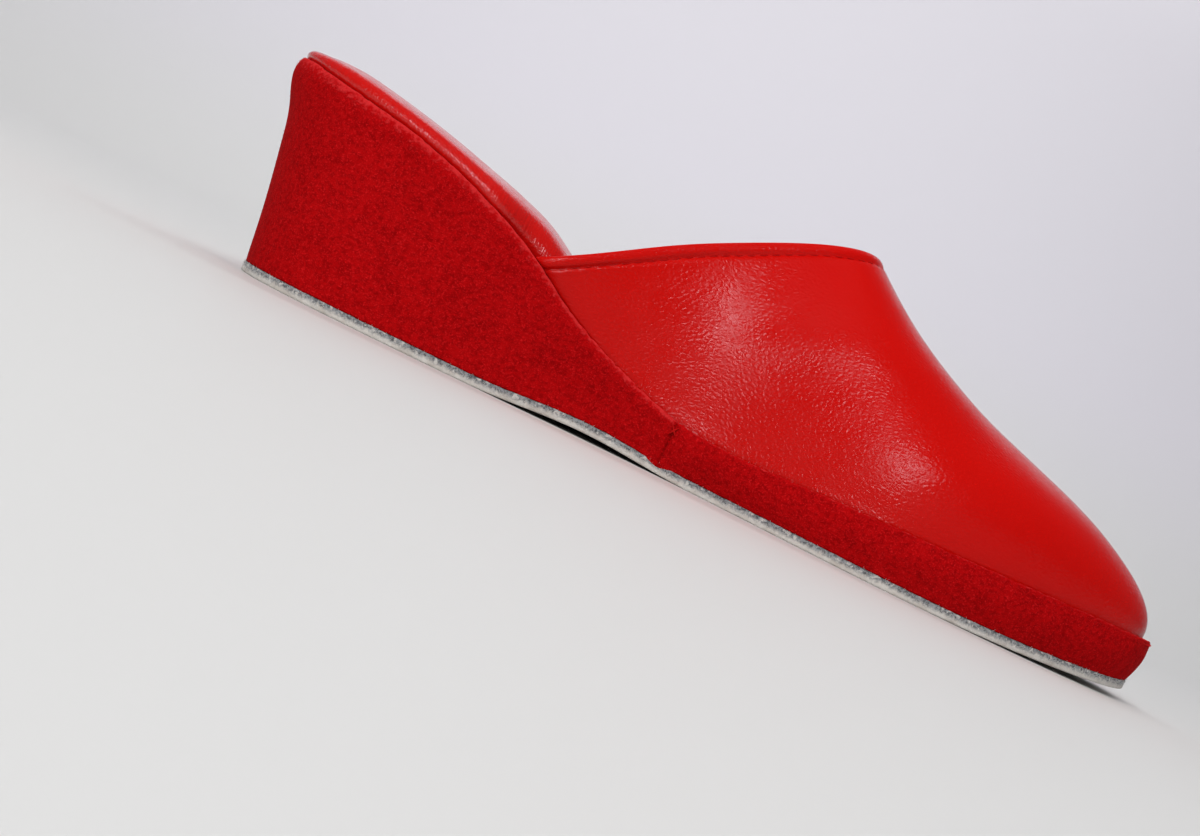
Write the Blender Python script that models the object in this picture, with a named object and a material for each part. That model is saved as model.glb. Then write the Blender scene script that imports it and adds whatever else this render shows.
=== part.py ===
# House slipper, left shoe: a backless mule on a covered wedge heel and platform.
# The toe points along +X, the outer side of the foot is +Y and the floor is at z = 0.

import math

import bmesh
import bpy
import numpy as np

MM = 0.001

# Driving sizes
SOLE_LENGTH = 244 * MM
BALL_WIDTH = 88 * MM
HEEL_WIDTH = 59 * MM
HEEL_HEIGHT = 53 * MM
PLATFORM_HEIGHT = 12 * MM
INSTEP_HEIGHT = 72.5 * MM
SOLE_THICKNESS = 2.4 * MM
SOLE_INSET = 0.7 * MM
ARCH_RISE = 1.5 * MM
TOE_SPRING = 3 * MM
HEEL_OVERHANG = 9.5 * MM
SIDE_FLARE = 2 * MM
TOE_FLARE = 1.6 * MM
COVER_THICKNESS = 1.3 * MM
RAND_LIP = 1.3 * MM
LIP_ROUNDING = 1.2 * MM
FEATHER_INSET = 2.4 * MM
VAMP_WALL = 1.8 * MM
FOLD_WIDTH = 3 * MM
FOLD_STEP = 0.5 * MM
FOLD_EDGE = 0.4 * MM
SIDE_BULGE = math.radians(12)
SOCK_THICKNESS = 5.2 * MM
SOCK_CROWN = 2.2 * MM
SOCK_ROLL = 4.5 * MM
SOCK_SETBACK = 0.9 * MM
TOE_ROOM = 3 * MM
RIDGE_OFFSET = 4 * MM
CLEARANCE = 0.3 * MM

# Places along the sole, as shares of its length
SEAM_PLACE = 0.455
VAMP_CORNER = 0.258
ARCH_START, ARCH_END = 0.25, 0.50
SPRING_START = 0.72

# Steps of the lofts
OUTLINE_STEPS = 56
VAMP_ARCS = 44
VAMP_ROWS = 20
MEDIAL, LATERAL = -1, 1

# Outline of the sole: share of its length, medial and lateral half width
# as shares of half the width there, heel to ball
OUTLINE = (
    (0.00, 0.00, 0.00),
    (0.02, 0.56, 0.56),
    (0.06, 0.86, 0.86),
    (0.12, 0.99, 0.99),
    (0.20, 1.00, 1.01),
    (0.30, 0.90, 1.01),
    (0.40, 0.765, 0.98),
    (0.48, 0.735, 0.97),
    (0.56, 0.83, 0.96),
    (0.64, 0.945, 0.975),
    (0.71, 1.00, 1.00),
    (0.78, 0.99, 0.97),
    (0.85, 0.91, 0.85),
    (0.91, 0.79, 0.66),
    (0.96, 0.62, 0.40),
    (0.99, 0.40, 0.12),
    (1.00, 0.14, -0.14),
)

# Top of the block: share of the sole's length, share of the wedge above the platform
WEDGE = (
    (-0.05, 1.02),
    (-0.02, 0.985),
    (0.018, 0.935),
    (0.058, 0.893),
    (0.10, 0.85),
    (0.145, 0.785),
    (0.194, 0.69),
    (0.236, 0.59),
    (0.26, 0.52),
    (0.30, 0.375),
    (0.34, 0.25),
    (0.38, 0.148),
    (0.413, 0.075),
    (0.446, 0.02),
    (0.48, -0.008),
    (0.54, -0.015),
    (0.59, 0.0),
    (0.71, 0.03),
    (0.825, 0.045),
    (0.93, 0.03),
    (1.02, 0.0),
)

# Side of the block: share of its height, share of the overhang at the heel and at the platform
SIDE_PROFILE = (
    (0.00, 0.00, 0.00),
    (0.19, 0.13, 0.40),
    (0.42, 0.33, 0.80),
    (0.60, 0.51, 1.00),
    (0.78, 0.75, 1.04),
    (0.93, 1.00, 1.00),
    (1.00, 0.93, 0.96),
)

# Ridge of the vamp, run on behind the throat: share of the sole's length,
# share of the instep's height above the platform
RIDGE = (
    (0.22, 0.52),
    (0.264, 0.64),
    (0.305, 0.79),
    (0.35, 0.95),
    (0.394, 1.05),
    (0.455, 1.11),
    (0.504, 1.10),
    (0.541, 1.065),
    (0.576, 0.985),
    (0.599, 0.917),
    (0.626, 0.838),
    (0.655, 0.764),
    (0.687, 0.695),
    (0.73, 0.62),
    (0.776, 0.558),
    (0.82, 0.498),
    (0.862, 0.438),
    (0.923, 0.322),
    (0.962, 0.226),
    (0.988, 0.126),
    (1.00, 0.0),
)

# Topline seen from the side: share of the sole's length, share of the instep's height
TOPLINE = (
    (0.258, 0.460),
    (0.296, 0.534),
    (0.337, 0.622),
    (0.379, 0.712),
    (0.437, 0.819),
    (0.485, 0.898),
    (0.523, 0.950),
    (0.562, 0.983),
    (0.594, 0.979),
    (0.64, 0.91),
)

# Sock: share of the sole's length, share of its thickness
SOCK_DEPTH = (
    (-0.05, 0.55),
    (0.00, 0.72),
    (0.03, 0.95),
    (0.06, 0.97),
    (0.10, 0.94),
    (0.16, 1.04),
    (0.21, 1.28),
    (0.26, 1.66),
    (0.31, 1.76),
    (0.37, 1.42),
    (0.45, 1.00),
    (0.55, 0.75),
    (0.75, 0.60),
    (1.02, 0.55),
)


class Curve:
    """Smooth curve through the rows of a table, column against its first column."""

    def __init__(self, rows, column=1, place=None):
        self.x = np.array([place(row[0]) if place else row[0] for row in rows], float)
        self.y = np.array([row[column] for row in rows], float)
        span = np.diff(self.x)
        slope = np.diff(self.y) / span
        count = len(self.x)
        matrix = np.eye(count)
        right = np.zeros(count)
        for i in range(1, count - 1):
            matrix[i, i - 1:i + 2] = span[i - 1], 2 * (span[i - 1] + span[i]), span[i]
            right[i] = 6 * (slope[i] - slope[i - 1])
        self.bend = np.linalg.solve(matrix, right)

    def __call__(self, x):
        x = min(max(x, self.x[0]), self.x[-1])
        i = min(max(int(np.searchsorted(self.x, x)) - 1, 0), len(self.x) - 2)
        span = self.x[i + 1] - self.x[i]
        a = (self.x[i + 1] - x) / span
        b = 1 - a
        curved = (a ** 3 - a) * self.bend[i] + (b ** 3 - b) * self.bend[i + 1]
        return a * self.y[i] + b * self.y[i + 1] + curved * span * span / 6


def share_at(turn):
    """Share of the length at a turn from heel (0) to toe (1), close-set at both ends."""
    return (1 - math.cos(math.pi * turn)) / 2


def turn_at(share):
    return math.acos(1 - 2 * min(max(share, 0.0), 1.0)) / math.pi


def smooth_step(value, low, high):
    s = min(max((value - low) / (high - low), 0.0), 1.0)
    return s * s * (3 - 2 * s)


medial_half = Curve(OUTLINE, 1, turn_at)
lateral_half = Curve(OUTLINE, 2, turn_at)
wedge_share = Curve(WEDGE)
heel_profile = Curve(SIDE_PROFILE, 1)
platform_profile = Curve(SIDE_PROFILE, 2)
ridge_share = Curve(RIDGE, 1, turn_at)
topline_share = Curve(TOPLINE)
sock_share = Curve(SOCK_DEPTH)


def outline_point(turn, side):
    """Bottom outline of the platform on one side of the foot."""
    share = share_at(turn)
    half = (HEEL_WIDTH + (BALL_WIDTH - HEEL_WIDTH) * smooth_step(share, 0.3, 0.7)) / 2
    edge = medial_half(turn) if side == MEDIAL else lateral_half(turn)
    return np.array([SOLE_LENGTH * share, side * half * edge])


def outward(turn, side):
    """Unit vector in the plan, square to the outline."""
    small = 1e-4
    if turn < small:
        return np.array([-1.0, 0.0])
    if turn > 1 - small:
        return np.array([1.0, 0.0])
    along = outline_point(turn + small, side) - outline_point(turn - small, side)
    square = np.array([along[1], -along[0]]) * -side
    return square / np.linalg.norm(square)


def overhang(turn, side):
    """How far the top of the side stands outside the bottom outline."""
    facing = outward(turn, side)[0]
    ends = facing * facing
    forefoot = smooth_step(share_at(turn), 0.35, 0.65)
    end_flare = HEEL_OVERHANG + (TOE_FLARE - HEEL_OVERHANG) * forefoot
    return SIDE_FLARE + (end_flare - SIDE_FLARE) * ends


def side_point(turn, side, rise, inset):
    """Plan point of the covered side at a share of its height, set in by a distance."""
    forefoot = smooth_step(share_at(turn), 0.35, 0.55)
    profile = heel_profile(rise) * (1 - forefoot) + platform_profile(rise) * forefoot
    return outline_point(turn, side) + outward(turn, side) * (overhang(turn, side) * profile - inset)


def floor_gap(x):
    """Height of the sole's underside: flat at heel and ball, raised at arch and toe."""
    share = x / SOLE_LENGTH
    arch = min(max((share - ARCH_START) / (ARCH_END - ARCH_START), 0.0), 1.0)
    toe = max((share - SPRING_START) / (1 - SPRING_START), 0.0)
    return ARCH_RISE * math.sin(math.pi * arch) ** 2 + TOE_SPRING * toe ** 2


def block_bottom(x):
    return floor_gap(x) + SOLE_THICKNESS + CLEARANCE


def block_top(x):
    share = x / SOLE_LENGTH
    forefoot = smooth_step(share, 0.5, SPRING_START)
    wedge = (HEEL_HEIGHT - PLATFORM_HEIGHT) * wedge_share(share)
    return PLATFORM_HEIGHT + wedge + forefoot * floor_gap(x)


def arch_share(value, fullness):
    return math.copysign(abs(value) ** (2 / fullness), value)


def vamp_point(turn, angle, depth):
    """Point of the vamp on one station of the last; the angle runs from the medial feather
    edge over the ridge (90 degrees) to the lateral one, and depth is measured inwards."""
    medial = side_point(turn, MEDIAL, 1.0, FEATHER_INSET + depth)
    lateral = side_point(turn, LATERAL, 1.0, FEATHER_INSET + depth)
    share = share_at(turn)
    fullness = 2.3 + 0.2 * smooth_step(share, 0.6, 0.9)
    low = arch_share(math.sin(SIDE_BULGE), fullness)
    wide = arch_share(math.cos(SIDE_BULGE), fullness)
    up = (arch_share(math.sin(angle), fullness) + low) / (1 + low)
    across = arch_share(math.cos(angle), fullness) / wide
    place = (medial + lateral) / 2 + (medial - lateral) / 2 * across
    lean = RIDGE_OFFSET * smooth_step(1 - share, 0.0, 0.3)
    ridge = (INSTEP_HEIGHT - PLATFORM_HEIGHT) * ridge_share(turn) - depth
    foot = block_top(place[0]) + CLEARANCE
    crest = PLATFORM_HEIGHT + smooth_step(share, 0.5, 0.72) * floor_gap(place[0]) + max(ridge, 0.0)
    return np.array([place[0], place[1] - lean * up, foot * (1 - up) + max(crest, foot) * up])


def vamp_angle(arc):
    return -SIDE_BULGE + arc * (math.pi + 2 * SIDE_BULGE)


def topline_turn(angle):
    """Turn at which the line of this angle reaches the topline's height."""
    low = turn_at(VAMP_CORNER)
    high = turn_at(0.68)
    for _ in range(40):
        middle = (low + high) / 2
        place = vamp_point(middle, angle, 0.0)
        wanted = INSTEP_HEIGHT * topline_share(share_at(middle))
        if place[2] > wanted:
            low = middle
        else:
            high = middle
    return (low + high) / 2


def fold_turn(arc, start):
    """Turn at the lower edge of the topline's fold, a fold's width from the topline."""
    small = 0.004
    before = max(arc - small, 0.0)
    after = min(arc + small, 1.0)
    near = vamp_point(topline_turn(vamp_angle(before)), vamp_angle(before), 0.0)
    far = vamp_point(topline_turn(vamp_angle(after)), vamp_angle(after), 0.0)
    tangent = (far - near) / np.linalg.norm(far - near)
    along = vamp_point(start + small, vamp_angle(arc), 0.0) - vamp_point(start, vamp_angle(arc), 0.0)
    spread = np.linalg.norm(np.cross(along, tangent)) / small
    return start + FOLD_WIDTH / spread


def new_mesh_object(name, bm, colour, roughness):
    bmesh.ops.remove_doubles(bm, verts=bm.verts, dist=1e-6)
    bmesh.ops.dissolve_degenerate(bm, edges=bm.edges, dist=1e-7)
    bmesh.ops.recalc_face_normals(bm, faces=bm.faces)
    if bm.calc_volume(signed=True) < 0:
        bmesh.ops.reverse_faces(bm, faces=bm.faces)
    mesh = bpy.data.meshes.new(name)
    bm.to_mesh(mesh)
    bm.free()
    made = bpy.data.objects.new(name, mesh)
    collection.objects.link(made)
    material = bpy.data.materials.new(name)
    material.use_nodes = True
    shader = material.node_tree.nodes["Principled BSDF"]
    shader.inputs["Base Color"].default_value = (*colour, 1.0)
    shader.inputs["Roughness"].default_value = roughness
    mesh.materials.append(material)
    return made


def add_grid(bm, grid, flip=False):
    """Faces over rows of vertices."""
    for row, following in zip(grid, grid[1:]):
        for i in range(len(row) - 1):
            corners = [row[i], row[i + 1], following[i + 1], following[i]]
            bm.faces.new(corners[::-1] if flip else corners)


def shell(name, outer, inner, colour, roughness):
    """Closed solid between two grids of points, joined along all four edges."""
    bm = bmesh.new()
    outside = [[bm.verts.new(point) for point in row] for row in outer]
    inside = [[bm.verts.new(point) for point in row] for row in inner]
    add_grid(bm, outside)
    add_grid(bm, inside, flip=True)
    add_grid(bm, [outside[0], inside[0]], flip=True)
    add_grid(bm, [outside[-1], inside[-1]])
    add_grid(bm, [[row[0] for row in outside], [row[0] for row in inside]])
    add_grid(bm, [[row[-1] for row in outside], [row[-1] for row in inside]], flip=True)
    return new_mesh_object(name, bm, colour, roughness)


def plate(name, loops, strips, crown, colour, roughness):
    """Closed solid from loops round the outline, bottom to top, capped across the foot.
    A loop has a point on each side at every turn; the upper cap is crowned."""
    bm = bmesh.new()
    rings = []
    for medial, lateral in loops:
        rings.append([[bm.verts.new(point) for point in medial], [bm.verts.new(point) for point in lateral]])
    for lower, upper in zip(rings, rings[1:]):
        add_grid(bm, [lower[0], upper[0]])
        add_grid(bm, [lower[1], upper[1]], flip=True)
    for ring, height in ((rings[0], 0.0), (rings[-1], crown)):
        grid = []
        for near, far in zip(*ring):
            row = [near]
            for k in range(1, strips):
                share = k / strips
                place = near.co.lerp(far.co, share)
                width = min((far.co - near.co).length / HEEL_WIDTH, 1.0)
                place.z += height * width * (1 - (2 * share - 1) ** 2)
                row.append(bm.verts.new(place))
            grid.append(row + [far])
        add_grid(bm, grid, flip=ring is rings[0])
    return new_mesh_object(name, bm, colour, roughness)


def outline_turns(start=0.0, end=1.0):
    """Turns shared by all that follows the outline, between two ends."""
    between = [i / OUTLINE_STEPS for i in range(1, OUTLINE_STEPS)]
    room = 0.2 / OUTLINE_STEPS
    return [start] + [turn for turn in between if start + room < turn < end - room] + [end]


def build_outsole():
    turns = outline_turns()
    loops = []
    for height in (0.0, SOLE_THICKNESS):
        sides = []
        for side in (MEDIAL, LATERAL):
            plan = [side_point(turn, side, 0.0, SOLE_INSET) for turn in turns]
            sides.append([(x, y, floor_gap(x) + height) for x, y in plan])
        loops.append(sides)
    return plate("outsole", loops, 2, 0.0, (0.62, 0.60, 0.57), 0.9)


def build_wedge_block():
    turns = outline_turns()
    inset = COVER_THICKNESS + CLEARANCE
    loops = []
    for rise, *_ in SIDE_PROFILE:
        sides = []
        for side in (MEDIAL, LATERAL):
            points = []
            for turn in turns:
                x, y = side_point(turn, side, rise, inset)
                low = block_bottom(x)
                points.append((x, y, low + (block_top(x) - low) * rise))
            sides.append(points)
        loops.append(sides)
    return plate("wedge_block", loops, 2, 0.0, (0.55, 0.36, 0.20), 0.9)


def cover_grids(path, rounded):
    """Outer and inner grid of a cover strip that runs along a path of turns and sides."""
    outer = []
    inner = []
    for turn, side in path:
        outside = []
        inside = []
        for rise, *_ in SIDE_PROFILE:
            for grid, inset in ((outside, 0.0), (inside, COVER_THICKNESS)):
                x, y = side_point(turn, side, rise, inset)
                low = block_bottom(x)
                grid.append([x, y, low + (block_top(x) - low) * rise])
        if rounded:
            x, y = side_point(turn, side, 1.0, 0.0)
            outside[-1][2] = block_top(x) + RAND_LIP - LIP_ROUNDING
            for part in (0.5, 1.0):
                back = LIP_ROUNDING * (1 - math.cos(part * math.pi / 2))
                x, y = side_point(turn, side, 1.0, back * 0.8)
                crest = block_top(x) + RAND_LIP - LIP_ROUNDING * (1 - math.sin(part * math.pi / 2))
                outside.append([x, y, crest])
            x, y = side_point(turn, side, 1.0, COVER_THICKNESS)
            inside.append([x, y, block_top(x) + 0.5 * RAND_LIP])
            inside.append([x, y, block_top(x) + RAND_LIP])
        outer.append(outside)
        inner.append(inside)
    return outer, inner


def seam_turns():
    """Turns at the waist seam for the covers behind and in front of it."""
    seam = turn_at(SEAM_PLACE)
    half_gap = turn_at(SEAM_PLACE + CLEARANCE / 2 / SOLE_LENGTH) - seam
    return seam - half_gap, seam + half_gap


def build_heel_cover():
    behind, _ = seam_turns()
    turns = outline_turns(end=behind)
    path = [(turn, MEDIAL) for turn in turns[:0:-1]] + [(turn, LATERAL) for turn in turns]
    outer, inner = cover_grids(path, rounded=False)
    return shell("heel_cover", outer, inner, (0.48, 0.035, 0.04), 0.95)


def build_platform_rand():
    _, ahead = seam_turns()
    turns = outline_turns(start=ahead)
    path = [(turn, MEDIAL) for turn in turns] + [(turn, LATERAL) for turn in turns[-2::-1]]
    outer, inner = cover_grids(path, rounded=True)
    return shell("platform_rand", outer, inner, (0.48, 0.035, 0.04), 0.95)


def build_vamp():
    outer = []
    inner = []
    for j in range(VAMP_ARCS + 1):
        arc = j / VAMP_ARCS
        angle = vamp_angle(arc)
        start = topline_turn(angle)
        fold = fold_turn(arc, start)
        edge = (fold - start) * FOLD_EDGE / FOLD_WIDTH
        rows = [(start, -FOLD_STEP / 2), (start + edge, -FOLD_STEP), (fold - edge, -FOLD_STEP), (fold, 0.0)]
        for i in range(1, VAMP_ROWS + 1):
            rows.append((fold + (1 - fold) * i / VAMP_ROWS, 0.0))
        outer.append([vamp_point(turn, angle, depth) for turn, depth in rows])
        inner.append([vamp_point(turn, angle, VAMP_WALL) for turn, _ in rows])
    return shell("vamp", outer, inner, (0.62, 0.02, 0.02), 0.38)


def sock_inset(share):
    """The sock reaches the cover's edge at the heel and stays inside the vamp ahead of it."""
    inside = FEATHER_INSET + VAMP_WALL + 2 * CLEARANCE
    toe = TOE_ROOM * smooth_step(share, 0.85, 0.97)
    tucked = smooth_step(share, VAMP_CORNER - 0.06, VAMP_CORNER - 0.005)
    return SOCK_SETBACK + (inside + toe - SOCK_SETBACK) * tucked


def build_padded_sock():
    turns = outline_turns()
    # Rounding of the edge: share of the roll inwards, share of the thickness upwards
    roll = [(0.12, 0.0), (0.0, 0.14)]
    for part in (0.25, 0.5, 0.75, 1.0):
        bend = part * math.pi / 2
        roll.append((1 - math.cos(bend), 0.3 + 0.7 * math.sin(bend)))
    loops = []
    for back, up in roll:
        sides = []
        for side in (MEDIAL, LATERAL):
            points = []
            for turn in turns:
                share = share_at(turn)
                thickness = SOCK_THICKNESS * sock_share(share)
                x, y = side_point(turn, side, 1.0, sock_inset(share) + back * SOCK_ROLL)
                points.append((x, y, block_top(x) + CLEARANCE + up * thickness))
            sides.append(points)
        loops.append(sides)
    return plate("padded_sock", loops, 6, SOCK_CROWN, (0.60, 0.015, 0.02), 0.28)


def centre_on_floor(pieces):
    """Put the origin under the middle of the slipper, on the floor."""
    corners = np.array([corner for piece in pieces for corner in piece.bound_box])
    middle = (corners.min(axis=0) + corners.max(axis=0)) / 2
    for piece in pieces:
        piece.location = (-middle[0], -middle[1], 0.0)


for old in list(bpy.data.objects):
    bpy.data.objects.remove(old, do_unlink=True)

collection = bpy.data.collections.new("house_slipper")
bpy.context.scene.collection.children.link(collection)

slipper = [
    build_outsole(),
    build_wedge_block(),
    build_heel_cover(),
    build_platform_rand(),
    build_vamp(),
    build_padded_sock(),
]
centre_on_floor(slipper)
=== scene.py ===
import math
import random

import bmesh
import bpy
import numpy as np
from mathutils import Matrix, Quaternion, Vector


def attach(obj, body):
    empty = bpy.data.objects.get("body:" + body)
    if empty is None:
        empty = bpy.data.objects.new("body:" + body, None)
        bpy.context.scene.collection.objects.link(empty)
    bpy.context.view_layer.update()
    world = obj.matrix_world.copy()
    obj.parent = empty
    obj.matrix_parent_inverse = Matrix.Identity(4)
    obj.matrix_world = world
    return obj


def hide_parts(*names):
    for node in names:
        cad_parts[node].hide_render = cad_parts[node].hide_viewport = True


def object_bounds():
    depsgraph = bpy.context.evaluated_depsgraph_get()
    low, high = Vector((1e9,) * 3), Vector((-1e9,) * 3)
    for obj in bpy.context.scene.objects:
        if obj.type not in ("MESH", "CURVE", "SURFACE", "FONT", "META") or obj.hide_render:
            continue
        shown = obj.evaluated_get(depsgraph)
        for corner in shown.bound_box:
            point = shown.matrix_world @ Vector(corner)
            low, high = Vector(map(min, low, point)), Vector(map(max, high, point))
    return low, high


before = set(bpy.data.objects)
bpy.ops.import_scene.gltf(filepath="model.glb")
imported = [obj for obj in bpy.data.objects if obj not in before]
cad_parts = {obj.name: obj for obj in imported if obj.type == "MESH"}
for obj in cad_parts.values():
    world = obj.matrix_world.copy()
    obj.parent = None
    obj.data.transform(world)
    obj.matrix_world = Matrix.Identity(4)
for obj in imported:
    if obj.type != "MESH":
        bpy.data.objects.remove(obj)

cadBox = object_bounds()
mm = 0.001
medial, lateral = -1, 1
random.seed(11)
print("frame loaded")

# The last, in metres: x from the heel's bottom rear, y to the outer side, z from the floor
last = {
    "soleLength": 0.244,
    "ballWidth": 0.088,
    "heelWidth": 0.059,
    "heelHeight": 0.053,
    "platformHeight": 0.012,
    "instepHeight": 0.0725,
    "soleThickness": 0.0024,
    "archRise": 0.0015,
    "toeSpring": 0.003,
    "heelOverhang": 0.0095,
    "sideFlare": 0.002,
    "toeFlare": 0.0016,
    "featherInset": 0.0024,
    "sideBulge": math.radians(12),
    "ridgeOffset": 0.004,
    "clearance": 0.0003,
    "seamPlace": 0.455,
    "vampCorner": 0.258,
}

# share of the sole's length, medial and lateral half width
outline = [
    (0.00, 0.00, 0.00), (0.02, 0.56, 0.56), (0.06, 0.86, 0.86), (0.12, 0.99, 0.99), (0.20, 1.00, 1.01),
    (0.30, 0.90, 1.01), (0.40, 0.765, 0.98), (0.48, 0.735, 0.97), (0.56, 0.83, 0.96), (0.64, 0.945, 0.975),
    (0.71, 1.00, 1.00), (0.78, 0.99, 0.97), (0.85, 0.91, 0.85), (0.91, 0.79, 0.66), (0.96, 0.62, 0.40),
    (0.99, 0.40, 0.12), (1.00, 0.14, -0.14),
]
# share of the length, share of the wedge above the platform
wedgeTop = [
    (-0.05, 1.02), (-0.02, 0.985), (0.018, 0.935), (0.058, 0.893), (0.10, 0.85), (0.145, 0.785),
    (0.194, 0.69), (0.236, 0.59), (0.26, 0.52), (0.30, 0.375), (0.34, 0.25), (0.38, 0.148),
    (0.413, 0.075), (0.446, 0.02), (0.48, -0.008), (0.54, -0.015), (0.59, 0.0), (0.71, 0.03),
    (0.825, 0.045), (0.93, 0.03), (1.02, 0.0),
]
# share of the block's height, share of the overhang at the heel and at the platform
sideProfile = [
    (0.00, 0.00, 0.00), (0.19, 0.13, 0.40), (0.42, 0.33, 0.80), (0.60, 0.51, 1.00), (0.78, 0.75, 1.04),
    (0.93, 1.00, 1.00), (1.00, 0.93, 0.96),
]
# share of the length, share of the instep's height above the platform
ridge = [
    (0.22, 0.52), (0.264, 0.64), (0.305, 0.79), (0.35, 0.95), (0.394, 1.05), (0.455, 1.11), (0.504, 1.10),
    (0.541, 1.065), (0.576, 0.985), (0.599, 0.917), (0.626, 0.838), (0.655, 0.764), (0.687, 0.695),
    (0.73, 0.62), (0.776, 0.558), (0.82, 0.498), (0.862, 0.438), (0.923, 0.322), (0.962, 0.226),
    (0.988, 0.126), (1.00, 0.0),
]
# share of the length, share of the instep's height
topline = [
    (0.258, 0.460), (0.296, 0.534), (0.337, 0.622), (0.379, 0.712), (0.437, 0.819), (0.485, 0.898),
    (0.523, 0.950), (0.562, 0.983), (0.594, 0.979), (0.64, 0.91),
]


# a cubic spline through a table's column, as a function; place turns the first column into its variable
def smoothCurve(rows, column=1, place=None):
    x = np.array([place(row[0]) if place else row[0] for row in rows], float)
    y = np.array([row[column] for row in rows], float)
    span = np.diff(x)
    slope = np.diff(y) / span
    matrix = np.eye(len(x))
    right = np.zeros(len(x))
    for i in range(1, len(x) - 1):
        matrix[i, i - 1:i + 2] = span[i - 1], 2 * (span[i - 1] + span[i]), span[i]
        right[i] = 6 * (slope[i] - slope[i - 1])
    bend = np.linalg.solve(matrix, right)
    fine = np.linspace(x[0], x[-1], 3001)
    i = np.clip(np.searchsorted(x, fine) - 1, 0, len(x) - 2)
    a = (x[i + 1] - fine) / span[i]
    b = 1 - a
    curved = ((a ** 3 - a) * bend[i] + (b ** 3 - b) * bend[i + 1]) * span[i] ** 2 / 6
    values = a * y[i] + b * y[i + 1] + curved
    return lambda at: np.interp(at, fine, values)


# a turn runs from 0 at the heel to 1 at the toe and slows down at both, where the outline curves most
def shareAt(turn):
    return (1 - np.cos(np.pi * turn)) / 2


def turnAt(share):
    return np.arccos(1 - 2 * np.clip(share, 0, 1)) / np.pi


def ease(value, low, high):
    s = np.clip((value - low) / (high - low), 0, 1)
    return s * s * (3 - 2 * s)


medialHalf = smoothCurve(outline, 1, turnAt)
lateralHalf = smoothCurve(outline, 2, turnAt)
wedgeShare = smoothCurve(wedgeTop)
heelProfile = smoothCurve(sideProfile, 1)
platformProfile = smoothCurve(sideProfile, 2)
ridgeShare = smoothCurve(ridge, 1, turnAt)
toplineShare = smoothCurve(topline)


def outlinePoint(turn, side):
    share = shareAt(turn)
    half = (last["heelWidth"] + (last["ballWidth"] - last["heelWidth"]) * ease(share, 0.3, 0.7)) / 2
    edge = np.where(side < 0, medialHalf(turn), lateralHalf(turn))
    return last["soleLength"] * share, side * half * edge


def outward(turn, side):
    small = 4e-4
    x1, y1 = outlinePoint(turn + small, side)
    x0, y0 = outlinePoint(turn - small, side)
    length = np.hypot(x1 - x0, y1 - y0)
    heel = turn < small
    toe = turn > 1 - small
    outX = np.where(heel, -1.0, np.where(toe, 1.0, -side * (y1 - y0) / length))
    outY = np.where(heel | toe, 0.0, side * (x1 - x0) / length)
    return outX, outY


# plan point of the covered side, at a share of its height and set in by a distance
def sidePoint(turn, side, rise, inset):
    forefoot = ease(shareAt(turn), 0.35, 0.55)
    profile = heelProfile(rise) * (1 - forefoot) + platformProfile(rise) * forefoot
    outX, outY = outward(turn, side)
    flare = last["heelOverhang"] + (last["toeFlare"] - last["heelOverhang"]) * ease(shareAt(turn), 0.35, 0.65)
    overhang = last["sideFlare"] + (flare - last["sideFlare"]) * outX * outX
    x, y = outlinePoint(turn, side)
    reach = overhang * profile - inset
    return x + outX * reach, y + outY * reach


def floorGap(x):
    share = x / last["soleLength"]
    arch = np.clip((share - 0.25) / 0.25, 0, 1)
    toe = np.maximum((share - 0.72) / 0.28, 0)
    return last["archRise"] * np.sin(np.pi * arch) ** 2 + last["toeSpring"] * toe ** 2


def blockBottom(x):
    return floorGap(x) + last["soleThickness"] + last["clearance"]


def blockTop(x):
    share = x / last["soleLength"]
    wedge = (last["heelHeight"] - last["platformHeight"]) * wedgeShare(share)
    return last["platformHeight"] + wedge + ease(share, 0.5, 0.72) * floorGap(x)


def powered(value, fullness):
    return np.sign(value) * np.abs(value) ** (2 / fullness)


# point of the vamp: the angle runs from the medial feather edge over the ridge to the lateral one
def vampPoint(turn, angle, depth):
    inset = last["featherInset"] + depth
    mx, my = sidePoint(turn, np.full_like(turn, medial), 1.0, inset)
    lx, ly = sidePoint(turn, np.full_like(turn, lateral), 1.0, inset)
    share = shareAt(turn)
    fullness = 2.3 + 0.2 * ease(share, 0.6, 0.9)
    low = powered(math.sin(last["sideBulge"]), fullness)
    wide = powered(math.cos(last["sideBulge"]), fullness)
    up = (powered(np.sin(angle), fullness) + low) / (1 + low)
    across = powered(np.cos(angle), fullness) / wide
    x = (mx + lx) / 2 + (mx - lx) / 2 * across
    y = (my + ly) / 2 + (my - ly) / 2 * across
    lean = last["ridgeOffset"] * ease(1 - share, 0.0, 0.3)
    crest = (last["instepHeight"] - last["platformHeight"]) * ridgeShare(turn) - depth
    foot = blockTop(x) + last["clearance"]
    crest = last["platformHeight"] + ease(share, 0.5, 0.72) * floorGap(x) + np.maximum(crest, 0)
    return np.stack([x, y - lean * up, foot * (1 - up) + np.maximum(crest, foot) * up], axis=1)


def vampAngle(arc):
    return -last["sideBulge"] + arc * (math.pi + 2 * last["sideBulge"])


# from the last's own place to the CAD's; the shoe is widest at 0.78 of the platform's height
everyTurn = np.linspace(0, 1, 801)
widest = [sidePoint(everyTurn, np.full_like(everyTurn, side), 0.78, 0.0)[1] for side in (medial, lateral)]
toRow = np.array([
    cadBox[0].x + last["heelOverhang"],
    (cadBox[0].y + cadBox[1].y) / 2 - (widest[0].min() + widest[1].max()) / 2,
    0.0,
])


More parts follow.
